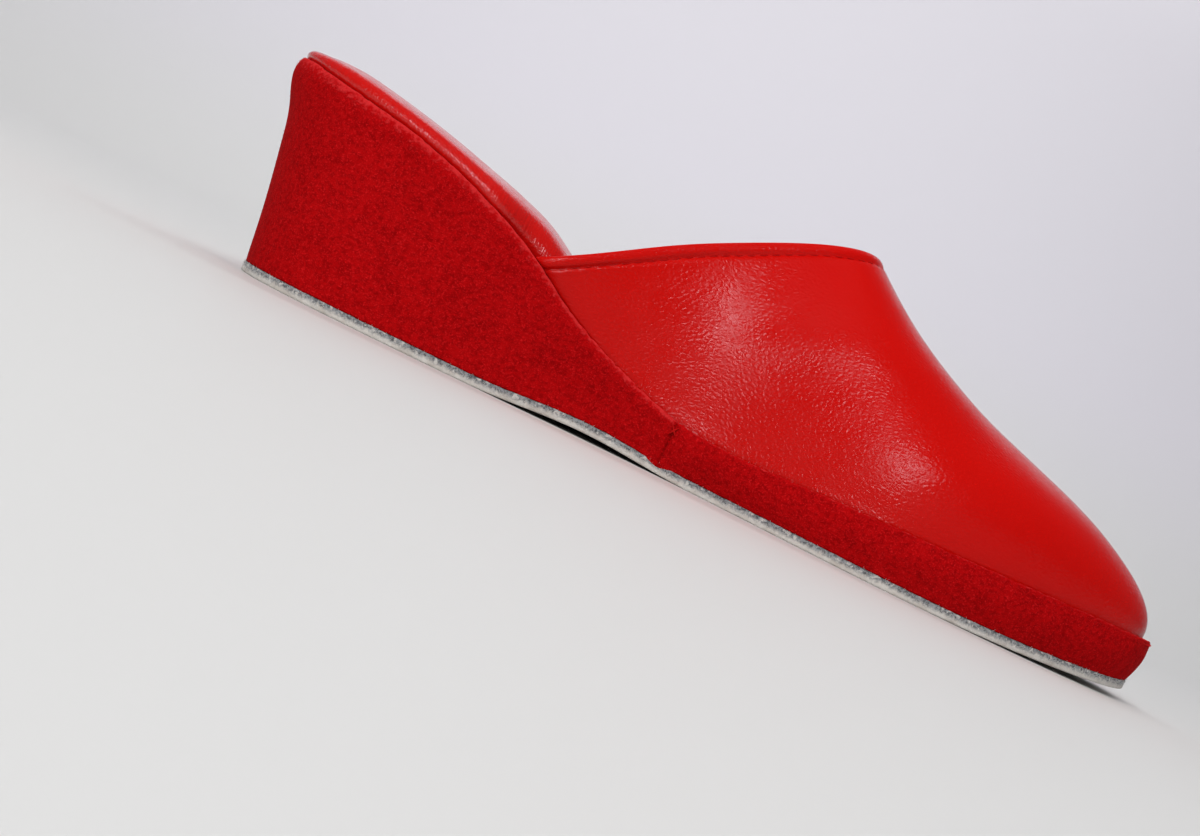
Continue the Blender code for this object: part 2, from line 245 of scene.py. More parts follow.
# a grid from the operator, each of its points put where the piece's surface function says
def addSheet(bm, place, across, along, material=0):
    verts = bmesh.ops.create_grid(bm, x_segments=across, y_segments=along, size=0.5)["verts"]
    flat = np.array([v.co[:2] for v in verts]) + 0.5
    points, pattern = place(flat[:, 0], flat[:, 1])
    layer = bm.verts.layers.float_vector["pattern"]
    for vert, point, value in zip(verts, points + toRow, pattern):
        vert.co = point
        vert[layer] = value
    for face in {face for vert in verts for face in vert.link_faces}:
        face.material_index = material
        face.smooth = True
    return verts


def newPieceMesh():
    bm = bmesh.new()
    bm.verts.layers.float_vector.new("pattern")
    return bm


# joins the open edges of two sheets all the way round
def bridgeSheets(bm):
    edges = [edge for edge in bm.edges if edge.is_boundary]
    made = bmesh.ops.bridge_loops(bm, edges=edges)
    for face in made["faces"]:
        face.smooth = True


def finishPiece(bm, name, materials):
    layer = bm.verts.layers.float_vector["pattern"]
    uvLayer = bm.loops.layers.uv.new("pattern")
    for face in bm.faces:
        for loop in face.loops:
            loop[uvLayer].uv = loop.vert[layer][:2]
    bm.verts.layers.float_vector.remove(layer)
    bmesh.ops.remove_doubles(bm, verts=bm.verts, dist=2e-7)
    bmesh.ops.dissolve_degenerate(bm, edges=bm.edges, dist=1e-7)
    bmesh.ops.recalc_face_normals(bm, faces=bm.faces)
    if bm.calc_volume(signed=True) < 0:
        bmesh.ops.reverse_faces(bm, faces=bm.faces)
    openEdges = sum(1 for edge in bm.edges if not edge.is_manifold)
    mesh = bpy.data.meshes.new(name)
    bm.to_mesh(mesh)
    bm.free()
    for material in materials:
        mesh.materials.append(material)
    piece = bpy.data.objects.new(name, mesh)
    bpy.context.scene.collection.objects.link(piece)
    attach(piece, "root")
    print(name, len(mesh.polygons), "faces,", openEdges, "open edges")
    return piece


def newFinish(name, roughness, **sockets):
    material = bpy.data.materials.new(name)
    material.use_nodes = True
    tree = material.node_tree
    shader = tree.nodes["Principled BSDF"]
    shader.inputs["Roughness"].default_value = roughness
    for socket, value in sockets.items():
        shader.inputs[socket.replace("_", " ")].default_value = value
    return material, tree, shader


def addNode(tree, kind, inputs=None, **settings):
    made = tree.nodes.new("ShaderNode" + kind)
    for name, value in settings.items():
        setattr(made, name, value)
    for name, value in (inputs or {}).items():
        if isinstance(value, bpy.types.NodeSocket):
            tree.links.new(value, made.inputs[name])
        else:
            made.inputs[name].default_value = value
    return made


def noiseNode(tree, vector, scale, detail=3.0, roughness=0.55, output="Fac"):
    inputs = {"Vector": vector, "Scale": scale, "Detail": detail, "Roughness": roughness}
    return addNode(tree, "TexNoise", inputs).outputs[output]


def cellEdges(tree, vector, scale):
    inputs = {"Vector": vector, "Scale": scale, "Randomness": 1.0}
    return addNode(tree, "TexVoronoi", inputs, feature="DISTANCE_TO_EDGE").outputs["Distance"]


def axisOf(tree, vector, axis):
    return addNode(tree, "SeparateXYZ", {"Vector": vector}).outputs[axis]


def patternPlace(tree):
    return addNode(tree, "UVMap", uv_map="pattern").outputs["UV"]


def mapNode(tree, value, low, high, toLow=0.0, toHigh=1.0, smooth=True):
    kind = "SMOOTHSTEP" if smooth else "LINEAR"
    made = addNode(tree, "MapRange", {
        "Value": value, "From Min": low, "From Max": high, "To Min": toLow, "To Max": toHigh,
    }, interpolation_type=kind)
    return made.outputs["Result"]


# the Mix node's colour sockets have places of their own: 6 and 7 in, 2 out
def mixColours(tree, share, first, second):
    return addNode(tree, "Mix", {0: share, 6: first, 7: second}, data_type="RGBA").outputs[2]


def addNumbers(tree, first, second, operation="ADD"):
    return addNode(tree, "Math", {0: first, 1: second}, operation=operation).outputs[0]


def addBump(tree, height, distance, normal=None, strength=1.0):
    inputs = {"Height": height, "Distance": distance, "Strength": strength}
    if normal:
        inputs["Normal"] = normal
    return addNode(tree, "Bump", inputs).outputs["Normal"]


# object coordinates, stretched and pushed about a little so that no pattern runs straight
def wanderingPlace(tree, stretch, push, pushScale):
    coords = addNode(tree, "TexCoord").outputs["Object"]
    mapped = addNode(tree, "Mapping", {"Vector": coords, "Scale": stretch}).outputs["Vector"]
    noise = noiseNode(tree, mapped, pushScale, 2.0, 0.5, "Color")
    centred = addNode(tree, "VectorMath", {0: noise, 1: (0.5, 0.5, 0.5)}, operation="SUBTRACT").outputs[0]
    scaled = addNode(tree, "VectorMath", {0: centred, "Scale": push}, operation="SCALE").outputs[0]
    return coords, addNode(tree, "VectorMath", {0: mapped, 1: scaled}, operation="ADD").outputs[0]


leatherLook = {
    "colour": (0.56, 0.0036, 0.0020, 1.0),
    "deepColour": (0.50, 0.003, 0.002, 1.0),
    "cellSize": 1.12 * mm,
    "wrinkleDepth": 0.042 * mm,
    "poreDepth": 0.008 * mm,
    "rimStretch": (1700.0, 1.3, 1.0),
    "rimDepth": 0.24 * mm,
}
liningLook = dict(leatherLook, colour=(0.50, 0.012, 0.010, 1.0))


# rimWrinkles adds fine folds across a rolled edge; the pattern's second axis is the way up the roll
def grainedLeather(name, look, roughness, shine, coat, wrinkles=1.0, rimWrinkles=False):
    material, tree, shader = newFinish(name, roughness, Specular_IOR_Level=shine, Coat_Weight=coat,
                                       Coat_Roughness=0.20, Coat_IOR=1.35)
    coords, place = wanderingPlace(tree, (0.75, 1.0, 1.15), 0.6 * mm, 500.0)
    cells = cellEdges(tree, place, 1 / look["cellSize"])
    small = cellEdges(tree, place, 2.3 / look["cellSize"])
    pebbles = mapNode(tree, cells, 0.0, 0.40)
    pores = mapNode(tree, small, 0.0, 0.35)
    strength = mapNode(tree, noiseNode(tree, coords, 60.0, 2.0), 0.3, 0.7, 0.75, 1.0)
    waves = noiseNode(tree, place, 300.0, 3.0)
    pebbled = addNumbers(tree, pebbles, strength, "MULTIPLY")
    height = addNumbers(tree, pebbled, addNumbers(tree, waves, 0.15, "MULTIPLY"))
    normal = addBump(tree, height, look["wrinkleDepth"] * wrinkles)
    normal = addBump(tree, pores, look["poreDepth"], normal)
    if rimWrinkles:
        uv = patternPlace(tree)
        way = axisOf(tree, uv, "Y")
        stretched = addNode(tree, "Mapping", {"Vector": uv, "Scale": look["rimStretch"]}).outputs["Vector"]
        folds = noiseNode(tree, stretched, 1.0, 2.0, 0.5)
        low = mapNode(tree, way, 0.10, 0.25)
        high = mapNode(tree, way, 0.7, 0.97, 1.0, 0.0)
        band = addNumbers(tree, low, high, "MULTIPLY")
        normal = addBump(tree, addNumbers(tree, folds, band, "MULTIPLY"), look["rimDepth"], normal)
    tree.links.new(normal, shader.inputs["Normal"])
    patches = mapNode(tree, noiseNode(tree, coords, 35.0, 3.0), 0.3, 0.75)
    valleys = mapNode(tree, cells, 0.0, 0.12, 0.25, 0.0)
    colour = mixColours(tree, addNumbers(tree, addNumbers(tree, patches, 0.12, "MULTIPLY"), valleys),
                        look["colour"], look["deepColour"])
    tree.links.new(colour, shader.inputs["Base Color"])
    gloss = mapNode(tree, noiseNode(tree, coords, 180.0, 3.0), 0.3, 0.7, roughness - 0.04, roughness + 0.05)
    tree.links.new(gloss, shader.inputs["Roughness"])
    return material


suedeLook = {
    "colour": (0.43, 0.0025, 0.0035, 1.0),
    "darkNap": (0.27, 0.0012, 0.002, 1.0),
    "lightNap": (0.62, 0.010, 0.012, 1.0),
    # paler red painted along the cover's upper edge: a painted highlight
    "edgeHighlightNap": (0.66, 0.028, 0.030, 1.0),
    "napSize": 0.35 * mm,
    "napDepth": 0.10 * mm,
}


# the pattern's second axis is the way up the cover, whose upper edge is painted paler as a painted highlight,
# where the raised edge catches light
def nappedSuede(name, look):
    material, tree, shader = newFinish(name, 0.95, Specular_IOR_Level=0.02, Sheen_Weight=0.04,
                                       Sheen_Roughness=0.35, Sheen_Tint=(1.0, 0.12, 0.12, 1.0))
    coords, place = wanderingPlace(tree, (0.8, 1.0, 1.0), 0.9 * mm, 420.0)
    fine = noiseNode(tree, place, 1 / look["napSize"], 3.0, 0.6)
    brushed = noiseNode(tree, place, 950.0, 3.0, 0.6)
    cloudy = noiseNode(tree, coords, 110.0, 3.0, 0.55)
    dark = addNumbers(tree, mapNode(tree, brushed, 0.40, 0.64), mapNode(tree, cloudy, 0.4, 0.7, 0.0, 0.35))
    colour = mixColours(tree, addNumbers(tree, dark, 0.75, "MULTIPLY"), look["colour"], look["darkNap"])
    colour = mixColours(tree, mapNode(tree, fine, 0.50, 0.70, 0.0, 0.8), colour, look["lightNap"])
    way = axisOf(tree, patternPlace(tree), "Y")
    ragged = addNumbers(tree, addNumbers(tree, brushed, 0.5, "SUBTRACT"), 0.30, "MULTIPLY")
    # painted highlight: a ragged band at the top of the cover is mixed towards a paler red, standing in for
    # light caught on the raised edge
    paintedEdgeHighlight = mapNode(tree, addNumbers(tree, way, ragged), 0.87, 0.96, 0.0, 0.8)
    colour = mixColours(tree, paintedEdgeHighlight, colour, look["edgeHighlightNap"])
    tree.links.new(colour, shader.inputs["Base Color"])
    normal = addBump(tree, fine, look["napDepth"])
    normal = addBump(tree, brushed, 0.30 * mm, normal)
    tree.links.new(normal, shader.inputs["Normal"])
    return material


soleLook = {
    "grey": (0.30, 0.31, 0.315, 1.0),
    "darkFleck": (0.09, 0.095, 0.10, 1.0),
    "nap": (0.47, 0.41, 0.35, 1.0),
    "fibre": (0.66, 0.63, 0.58, 1.0),
}


# the cut edge is dyed grey in its upper half; the pattern's second axis is the height there
def nappedSole(name, look):
    material, tree, shader = newFinish(name, 0.95, Specular_IOR_Level=0.1, Sheen_Weight=0.15,
                                       Sheen_Roughness=0.5)
    coords, place = wanderingPlace(tree, (1.0, 1.0, 1.0), 0.8 * mm, 500.0)
    height = axisOf(tree, patternPlace(tree), "Y")
    fibres = noiseNode(tree, place, 1500.0, 4.0, 0.7)
    clumps = noiseNode(tree, place, 700.0, 3.0, 0.6)
    wander = addNumbers(tree, addNumbers(tree, clumps, 0.5, "SUBTRACT"), 1.3, "MULTIPLY")
    dyed = mapNode(tree, addNumbers(tree, height, wander), 0.25, 0.75)
    grey = mixColours(tree, mapNode(tree, fibres, 0.42, 0.62), look["grey"], look["darkFleck"])
    grey = mixColours(tree, mapNode(tree, clumps, 0.52, 0.66, 0.0, 0.85), grey, look["fibre"])
    cloudy = mapNode(tree, noiseNode(tree, coords, 220.0, 4.0), 0.35, 0.7, 0.0, 0.6)
    pale = mixColours(tree, cloudy, look["fibre"], look["nap"])
    pale = mixColours(tree, mapNode(tree, fibres, 0.55, 0.75, 0.0, 0.4), pale, look["grey"])
    tree.links.new(mixColours(tree, dyed, pale, grey), shader.inputs["Base Color"])
    normal = addBump(tree, fibres, 0.25 * mm)
    normal = addBump(tree, clumps, 0.35 * mm, normal)
    tree.links.new(normal, shader.inputs["Normal"])
    return material


corkLook = {
    "colour": (0.50, 0.32, 0.17, 1.0),
    "darkGrain": (0.26, 0.14, 0.07, 1.0),
    "coveredTop": (0.33, 0.003, 0.003, 1.0),
}


# the top is covered in red, as it shows in slivers beside the sock and behind the band
def granulatedCork(name, look):
    material, tree, shader = newFinish(name, 0.9, Specular_IOR_Level=0.3)
    place = wanderingPlace(tree, (1.0, 1.0, 1.0), 1.5 * mm, 200.0)[1]
    grains = addNode(tree, "TexVoronoi", {"Vector": place, "Scale": 420.0})
    tone = axisOf(tree, grains.outputs["Color"], "X")
    colour = mixColours(tree, tone, look["colour"], look["darkGrain"])
    upward = axisOf(tree, addNode(tree, "NewGeometry").outputs["Normal"], "Z")
    colour = mixColours(tree, mapNode(tree, upward, 0.3, 0.5), colour, look["coveredTop"])
    tree.links.new(colour, shader.inputs["Base Color"])
    tree.links.new(addBump(tree, grains.outputs["Distance"], 0.3 * mm), shader.inputs["Normal"])
    return material


def threadFinish(name, colour, darker):
    material, tree, shader = newFinish(name, 0.7, Specular_IOR_Level=0.1)
    coords = addNode(tree, "TexCoord").outputs["Object"]
    strands = noiseNode(tree, coords, 3200.0, 2.0)
    tree.links.new(mixColours(tree, strands, colour, darker), shader.inputs["Base Color"])
    tree.links.new(addBump(tree, strands, 0.05 * mm), shader.inputs["Normal"])
    return material


vampFinish = grainedLeather("redNappa", leatherLook, 0.21, 0.11, 0.0)
sockFinish = grainedLeather("redSockNappa", leatherLook, 0.20, 0.38, 0.05, 0.9, True)
liningFinish = grainedLeather("redLining", liningLook, 0.55, 0.15, 0.0, 0.5)
suedeFinish = nappedSuede("redSuede", suedeLook)
soleFinish = nappedSole("nappedSoleLeather", soleLook)
stitchFinish = threadFinish("redThread", (0.52, 0.004, 0.003, 1.0), (0.34, 0.002, 0.002, 1.0))
redFibreFinish = threadFinish("suedeFibre", (0.62, 0.012, 0.014, 1.0), (0.42, 0.004, 0.005, 1.0))
paleFibreFinish = threadFinish("soleFibre", (0.80, 0.78, 0.75, 1.0), (0.45, 0.44, 0.43, 1.0))
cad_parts["wedge_block"].data.materials.clear()
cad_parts["wedge_block"].data.materials.append(granulatedCork("cork", corkLook))
print("finishes made")


vamp = {
    "across": 210,
    "along": 170,
    "spanAcross": 150,        # rough size of the whole vamp in mm, to turn shares into lengths
    "spanAlong": 140,
    "foldRows": 0.3,          # share of the rows that the folded topline takes
    "foldEnd": 5.5 * mm,
    "liningStart": 3.7 * mm,
    "wall": 1.8 * mm,
    "hollowPlace": 11 * mm,   # the leather dips a little ahead of the fold
    "hollowWidth": 6 * mm,
    "hollowDepth": 0.35 * mm,
    "hollowStart": (3.3 * mm, 8 * mm),    # sets in between these distances from the topline
    "stitchPlace": 3.05 * mm,
    "stitchPitch": 3.0 * mm,
    "stitchLength": 2.1 * mm,
    "stitchThickness": 0.36 * mm,
    "stitchPull": 0.16 * mm,
    "pullPlace": 3.55 * mm,   # where each stitch pulls the leather in, from the topline
    "pullWidth": 0.7 * mm,
    "edgeSwell": 0.40 * mm,   # the leather fills out to the band's lip
    "swellReach": 2.5 * mm,
    "swellStart": (8 * mm, 20 * mm),      # likewise
}
# fold seen in section, from its raw edge inside, over the topline and out to the face, in mm:
# way through the fold, distance from the topline, depth under the last's surface
foldSection = [
    (0.0, 3.5, 1.88), (0.5, 3.1, 2.06), (1.4, 2.2, 2.12), (2.3, 1.25, 2.0), (3.1, 0.5, 1.7), (3.8, 0.1, 1.2),
    (4.4, 0.0, 0.65), (5.0, 0.1, 0.1), (5.7, 0.5, -0.34), (6.5, 1.2, -0.58), (7.3, 1.95, -0.6),
    (7.9, 2.5, -0.42), (8.3, 2.82, -0.08), (8.6, 3.05, 0.2), (8.9, 3.3, 0.12), (9.4, 3.75, -0.08),
    (10.1, 4.5, -0.06), (11.1, 5.5, 0.0),
]
# soft forms: place over the foot (0 medial to 1 lateral), place from the topline to the toe,
# half length across and along in mm, height in mm
softForms = [
    (0.16, 0.16, 14, 5, 0.30), (0.20, 0.27, 26, 17, -1.1), (0.84, 0.18, 14, 5, 0.30),
    (0.78, 0.32, 20, 7, -0.25), (0.50, 0.10, 26, 6, -0.30), (0.50, 0.40, 18, 12, 0.25),
    (0.34, 0.55, 12, 20, 0.22), (0.68, 0.60, 14, 18, -0.20), (0.42, 0.80, 10, 9, 0.15),
    (0.60, 0.86, 9, 7, -0.12),
]
foldDistance = smoothCurve(foldSection, 1)
foldDepth = smoothCurve(foldSection, 2)


def runAlong(points):
    return np.concatenate([[0], np.cumsum(np.linalg.norm(np.diff(points, axis=0), axis=1))])


def pointAlong(at, run, points):
    return Vector([np.interp(at, run, points[:, axis]) for axis in range(3)])


# the topline by halving: behind it the last stands above the topline's height, ahead of it below
arcs = np.linspace(0, 1, 401)
arcAngles = vampAngle(arcs)
low = np.full_like(arcs, turnAt(last["vampCorner"]))
high = np.full_like(arcs, turnAt(0.68))
for _ in range(40):
    middle = (low + high) / 2
    above = vampPoint(middle, arcAngles, 0.0)[:, 2] > last["instepHeight"] * toplineShare(shareAt(middle))
    low = np.where(above, middle, low)
    high = np.where(above, high, middle)
toplineTurns = (low + high) / 2
toplineLine = vampPoint(toplineTurns, arcAngles, 0.0)
tangents = np.gradient(toplineLine, axis=0)
tangents /= np.linalg.norm(tangents, axis=1)[:, None]
step = 0.004
ahead = vampPoint(toplineTurns + step, arcAngles, 0.0) - toplineLine
spreads = np.linalg.norm(np.cross(ahead, tangents), axis=1) / step
toplineRun = runAlong(toplineLine)


def turnFromTopline(arc, distance):
    return np.interp(arc, arcs, toplineTurns) + distance / np.interp(arc, arcs, spreads)


# share of the way through the fold, and then share of the way from it to the toe
def rowShares(v):
    through = np.clip(v / vamp["foldRows"], 0, 1)
    return through, np.clip((v - vamp["foldRows"]) / (1 - vamp["foldRows"]), 0, 1)


def vampFace(u, v):
    through, run = rowShares(v)
    way = through * foldSection[-1][0]
    distance = foldDistance(way) * mm
    fold = turnFromTopline(u, distance)
    depth = foldDepth(way) * mm
    away = distance + run * vamp["spanAlong"] * mm
    hollow = np.exp(-((away - vamp["hollowPlace"]) / vamp["hollowWidth"]) ** 2)
    hollow = hollow * ease(away, *vamp["hollowStart"]) * (way > 8.6)
    depth = depth + vamp["hollowDepth"] * hollow * np.sin(np.pi * u) ** 2
    along = np.interp(u, arcs, toplineRun)
    pulled = 0.5 + 0.5 * np.cos(2 * np.pi * along / vamp["stitchPitch"] + 0.8 * np.sin(along * 90))
    beside = np.exp(-((away - vamp["pullPlace"]) / vamp["pullWidth"]) ** 2) * (way > 8.0)
    depth = depth + vamp["stitchPull"] * pulled * beside
    for column, row, reach, length, height in softForms:
        offAcross = (u - column) * vamp["spanAcross"] / reach
        offAlong = (run - row) * vamp["spanAlong"] / length
        form = height * mm * np.exp(-(offAcross ** 2 + offAlong ** 2))
        depth = depth - form * ease(run, 0.0, 0.06)
    fromEdge = np.minimum(u, 1 - u) * vamp["spanAcross"] * mm
    swell = vamp["edgeSwell"] * np.exp(-(fromEdge / vamp["swellReach"]) ** 2)
    depth = depth - swell * ease(away, *vamp["swellStart"]) * (1 - ease(run, 0.95, 0.995))
    points = vampPoint(fold + (1 - fold) * run, vampAngle(u), depth)
    return points, np.stack([along, away, away * 0], axis=1)


def vampInside(u, v):
    through, run = rowShares(v)
    distance = vamp["liningStart"] + (vamp["foldEnd"] - vamp["liningStart"]) * through
    fold = turnFromTopline(u, distance)
    points = vampPoint(fold + (1 - fold) * run, vampAngle(u), vamp["wall"])
    away = distance + run * vamp["spanAlong"] * mm
    return points, np.stack([np.interp(u, arcs, toplineRun), away, away * 0], axis=1)


# one stitch of thread, as a long ball: its axes are along the thread, across it and out of the leather
def addStitch(bm, centre, axes, length, thickness, segments):
    turned = Matrix(axes).transposed().to_4x4()
    sized = Matrix.Diagonal((length / 2, thickness / 2, thickness / 2, 1))
    made = bmesh.ops.create_uvsphere(bm, u_segments=segments, v_segments=segments - 2, radius=1.0,
                                     matrix=Matrix.Translation(centre) @ turned @ sized)
    for face in {face for vert in made["verts"] for face in vert.link_faces}:
        face.smooth = True


bm = newPieceMesh()
addSheet(bm, vampFace, vamp["across"], vamp["along"])
addSheet(bm, vampInside, vamp["across"], vamp["along"], 1)
bridgeSheets(bm)
vampLeather = finishPiece(bm, "vampLeather", [vampFinish, liningFinish])
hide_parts("vamp")

bm = newPieceMesh()
lineTurns = turnFromTopline(arcs, vamp["stitchPlace"])
line = vampPoint(lineTurns, arcAngles, 0.20 * mm)
lineOut = vampPoint(lineTurns, arcAngles, -1 * mm) - line
lineRun = runAlong(line)
count = int(lineRun[-1] / vamp["stitchPitch"])
for k in range(1, count):
    at = (k + 0.5) * lineRun[-1] / count
    centre = pointAlong(at, lineRun, line + toRow)
    before = pointAlong(at - 0.5 * mm, lineRun, line)
    after = pointAlong(at + 0.5 * mm, lineRun, line)
    along = (after - before).normalized()
    side = pointAlong(at, lineRun, lineOut).cross(along).normalized()
    axes = (along, side, along.cross(side))
    addStitch(bm, centre, axes, vamp["stitchLength"], vamp["stitchThickness"], 8)
finishPiece(bm, "toplineStitches", [stitchFinish])
print("vamp made")


covers = {
    "thickness": 1.3 * mm,
    "rows": 44,
    "columns": 420,
    "seamGap": 0.02 * mm,
    "seamRound": 1.3 * mm,
    "seamDepth": 0.55 * mm,
    "seed": 0.4,              # start of the wavers below
    "cutWaver": 0.10 * mm,
    "upperWaver": 0.12 * mm,
    "faceWaver": 0.08 * mm,
    "lip": 1.3 * mm,
    "dentPitch": 5.2 * mm,    # small dents that the stitches pull into the upper edge
    "dentWidth": 0.55 * mm,
    "dentDepth": 0.45 * mm,
    "lapDepth": 1.1 * mm,     # the leather bulges down over the sole at each seam
    "lapReach": 3.2 * mm,
    "lapProud": 0.45 * mm,
    "pucker": 0.35 * mm,      # and gathers beside it
    "puckerPitch": 1.9 * mm,
    "puckerReach": 2.6 * mm,
    "crossRise": 0.90,
    "crossLean": 0.75,
    "crossLength": 2.9 * mm,
    "crossThickness": 0.46 * mm,
    "crossProud": 0.16 * mm,
}
# way up the cover, share of the block's height, set in mm, lifted mm
heelSection = [
    (0.00, 0.00, 0.55, 0.02), (0.03, 0.00, 0.15, 0.03), (0.07, 0.015, 0.0, 0.0), (0.30, 0.28, 0.0, 0.0),
    (0.60, 0.64, 0.0, 0.0), (0.85, 0.935, 0.0, 0.0), (0.92, 0.985, 0.06, -0.05), (0.96, 1.0, 0.36, 0.08),
    (1.00, 1.0, 1.0, 0.10),
]
randSection = [
    (0.00, 0.00, 0.55, 0.02), (0.04, 0.00, 0.15, 0.03), (0.10, 0.03, 0.0, 0.0), (0.30, 0.30, -0.05, 0.0),
    (0.55, 0.66, -0.10, 0.0), (0.72, 0.92, -0.02, 0.15), (0.80, 1.0, 0.05, 0.60), (0.88, 1.0, 0.28, 1.10),
    (0.94, 1.0, 0.62, 1.28), (1.00, 1.0, 1.05, 1.10),
]


# a slow waver from a few waves, the same on every run
def waver(along, seed, lengths=(0.0031, 0.0047, 0.0083)):
    total = along * 0
    for k, length in enumerate(lengths):
        total = total + np.sin(2 * np.pi * along / length + seed + 1.7 * k) / len(lengths)
    return total


# the face of a cover, or its skin, the hidden plain inner side
def coverPlace(section, path, skin):
    curves = [smoothCurve(section, column) for column in (1, 2, 3)]
    seed = covers["seed"]

    def place(u, v):
        turn, side, fromSeam = path(u)
        rise = np.clip(curves[0](v), 0, 1)
        setIn = curves[1](v) * mm
        lift = curves[2](v) * mm
        x0 = outlinePoint(turn, side)[0]
        if section is heelSection:
            lift = lift + covers["lip"] * ease(shareAt(turn), 0.27, 0.44) * ease(v, 0.80, 0.96)
        ends = np.clip(1 - fromSeam / covers["seamRound"], 0, 1)
        rounded = 1 - np.sqrt(np.clip(1 - ends ** 2, 0, 1))
        setIn = setIn + covers["seamDepth"] * rounded * (0.15 + 0.85 * ease(v, 0.08, 0.4))
        if skin:
            setIn = np.full_like(setIn, covers["thickness"])
            lift = lift * (rise >= 1) * 0.6
        cut = waver(x0 + side * 0.05, seed) * covers["cutWaver"] * np.clip(1 - v / 0.12, 0, 1)
        if not skin:
            phase = x0 / covers["dentPitch"] + 0.35 * np.sin(x0 * 410 + side) + 0.3 * side
            dent = np.exp(-((phase - np.round(phase)) * covers["dentPitch"] / covers["dentWidth"]) ** 2)
            uneven = 0.55 + 0.45 * np.sin(x0 * 730 + side * 2)
            dent = dent * uneven * ease(v, 0.86, 0.95) * covers["dentDepth"]
            ridged = waver(x0 * 0.6 + side * 0.07, seed + 1) * covers["upperWaver"] * ease(v, 0.8, 0.95)
            cut = cut - dent + ridged
            lap = np.exp(-(fromSeam / covers["lapReach"]) ** 2) * np.clip(1 - v / 0.22, 0, 1)
            cut = cut - covers["lapDepth"] * lap
            setIn = setIn - covers["lapProud"] * lap
            fan = np.sin(np.pi * (fromSeam / covers["puckerPitch"] + (1 - v) * 3.2))
            fan = fan * np.exp(-fromSeam / covers["puckerReach"])
            setIn = setIn - covers["pucker"] * fan * ease(v, 0.55, 0.85) * (fromSeam > covers["seamRound"])
        x, y = sidePoint(turn, side, rise, setIn)
        low = blockBottom(x) - last["clearance"] * 0.9
        if not skin:
            soft = waver(x0 * 0.31 + v * 0.004 + side * 0.02, seed + 2) * covers["faceWaver"]
            soft = soft * np.sin(np.pi * v)
            outX, outY = outward(turn, side)
            x, y = x + outX * soft, y + outY * soft
        z = low + (blockTop(x) - low) * rise + lift + cut
        return np.stack([x, y, z], axis=1), np.stack([x0, v, v * 0], axis=1)

    return place


seamTurn = float(turnAt(last["seamPlace"]))
seamShare = covers["seamGap"] / 2 / last["soleLength"]
behindSeam = float(turnAt(last["seamPlace"] - seamShare))
aheadOfSeam = float(turnAt(last["seamPlace"] + seamShare))


def heelPath(u):
    turn = behindSeam * np.abs(1 - 2 * u)
    side = np.where(u < 0.5, medial, lateral)
    return turn, side, (shareAt(behindSeam) - shareAt(turn)) * last["soleLength"]


def randPath(u):
    turn = aheadOfSeam + (1 - aheadOfSeam) * (1 - np.abs(1 - 2 * u))
    side = np.where(u < 0.5, medial, lateral)
    return turn, side, (shareAt(turn) - shareAt(aheadOfSeam)) * last["soleLength"]


for name, section, path, node in (
    ("heelSuede", heelSection, heelPath, "heel_cover"),
    ("randSuede", randSection, randPath, "platform_rand"),
):
    bm = newPieceMesh()
    for skin in (False, True):
        addSheet(bm, coverPlace(section, path, skin), covers["columns"], covers["rows"])
    bridgeSheets(bm)
    cover = finishPiece(bm, name, [suedeFinish])
    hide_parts(node)

# two crossed stitches close each seam at its top
bm = newPieceMesh()
upright = Vector((0, 0, 1))
seamTurns = np.array([seamTurn])
rise = np.array([covers["crossRise"]])
for side in (medial, lateral):
    sides = np.array([side])
    x, y = sidePoint(seamTurns, sides, rise, 0.0)
    z = blockBottom(x) + (blockTop(x) - blockBottom(x)) * rise
    outX, outY = outward(seamTurns, sides)
    out = Vector((outX[0], outY[0], 0)).normalized()
    centre = Vector((x[0] + toRow[0], y[0] + toRow[1], z[0] + toRow[2])) + out * covers["crossProud"]
    for lean in (-covers["crossLean"], covers["crossLean"]):
        along = (upright + upright.cross(out) * lean).normalized()
        axes = (along, out.cross(along), out)
        addStitch(bm, centre, axes, covers["crossLength"], covers["crossThickness"], 10)
finishPiece(bm, "seamStitches", [stitchFinish])
print("suede covers made")


sock = {
    "across": 110,
    "along": 300,
    "rollShare": 0.22,        # share of the columns on each rolled edge
    "thickness": 5.2 * mm,
    "crown": 2.2 * mm,
    "roll": 4.0 * mm,
    "rollRise": 0.90,         # share of the thickness that the roll takes; the crown has the rest
    "setback": 0.6 * mm,
    "toeRoom": 3.0 * mm,
    "pinch": 0.10 * mm,       # little gathers along the roll
    "pinchPitch": 3.4 * mm,
}
# share of the sole's length, share of the sock's thickness
sockDepth = [
    (-0.05, 0.55), (0.00, 0.72), (0.03, 0.95), (0.06, 0.97), (0.10, 0.94), (0.16, 1.04), (0.21, 1.28),
    (0.26, 1.66), (0.31, 1.76), (0.37, 1.42), (0.45, 1.00), (0.55, 0.75), (0.75, 0.60), (1.02, 0.55),
]
# way up the roll, share of the roll inwards, share of the thickness
rollSection = [
    (0.00, 0.22, 0.00), (0.10, 0.10, 0.08), (0.22, 0.03, 0.22), (0.34, 0.0, 0.36), (0.46, 0.03, 0.50),
    (0.58, 0.13, 0.65), (0.72, 0.36, 0.81), (0.86, 0.68, 0.93), (1.00, 1.0, 1.0),
]
sockShare = smoothCurve(sockDepth)
rollIn = smoothCurve(rollSection, 1)
rollUp = smoothCurve(rollSection, 2)


def sockInset(share):
    inside = last["featherInset"] + vamp["wall"] + 2 * last["clearance"]
    toe = sock["toeRoom"] * ease(share, 0.85, 0.97)
    tucked = ease(share, last["vampCorner"] - 0.06, last["vampCorner"] - 0.005)
    return sock["setback"] + (inside + toe - sock["setback"]) * tucked


